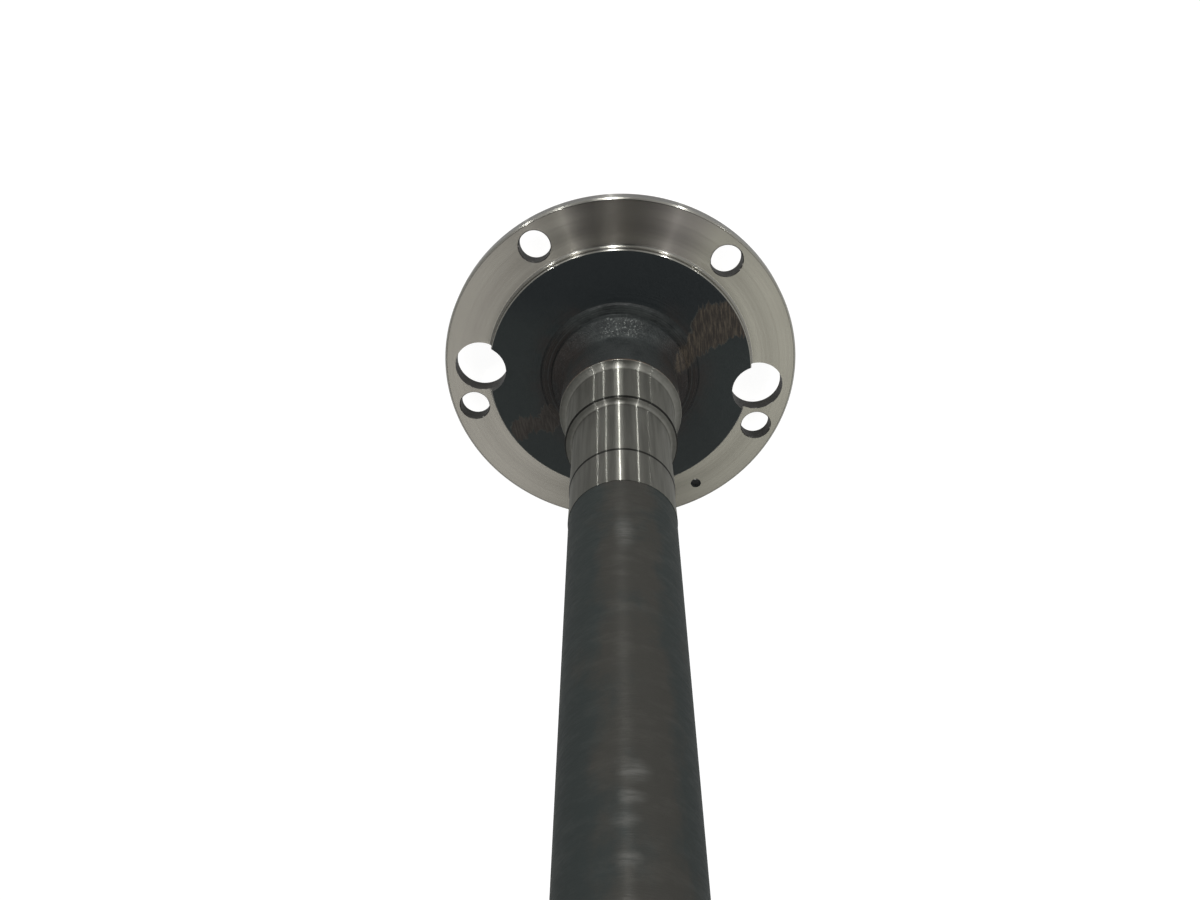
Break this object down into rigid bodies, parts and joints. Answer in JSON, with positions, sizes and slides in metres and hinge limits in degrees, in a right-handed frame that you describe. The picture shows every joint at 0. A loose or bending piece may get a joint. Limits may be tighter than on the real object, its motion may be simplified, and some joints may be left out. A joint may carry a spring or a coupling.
{
  "type": "rear axle shaft",
  "caption": "Semi-floating rear axle shaft forging: wheel flange with stud and socket holes, stepped ground seats, tapered shaft and splined inner end.",
  "frame": {"origin": "middle of the wheel pilot's end face, which is the lowest plane of the standing shaft", "axes": "+Z along the shaft axis from the flange to the splined end; one stud hole lies on -Y, opposite the middle of the gap between the two upper stud holes"},
  "size_m": [0.16, 0.16, 0.74],
  "materials": {
    "forged_steel": "black forging scale, with the flange ring and the seats turned and ground bright"
  },
  "bodies": {
    "root": {"axle_shaft": "forged_steel"}
  },
  "joints": []
}
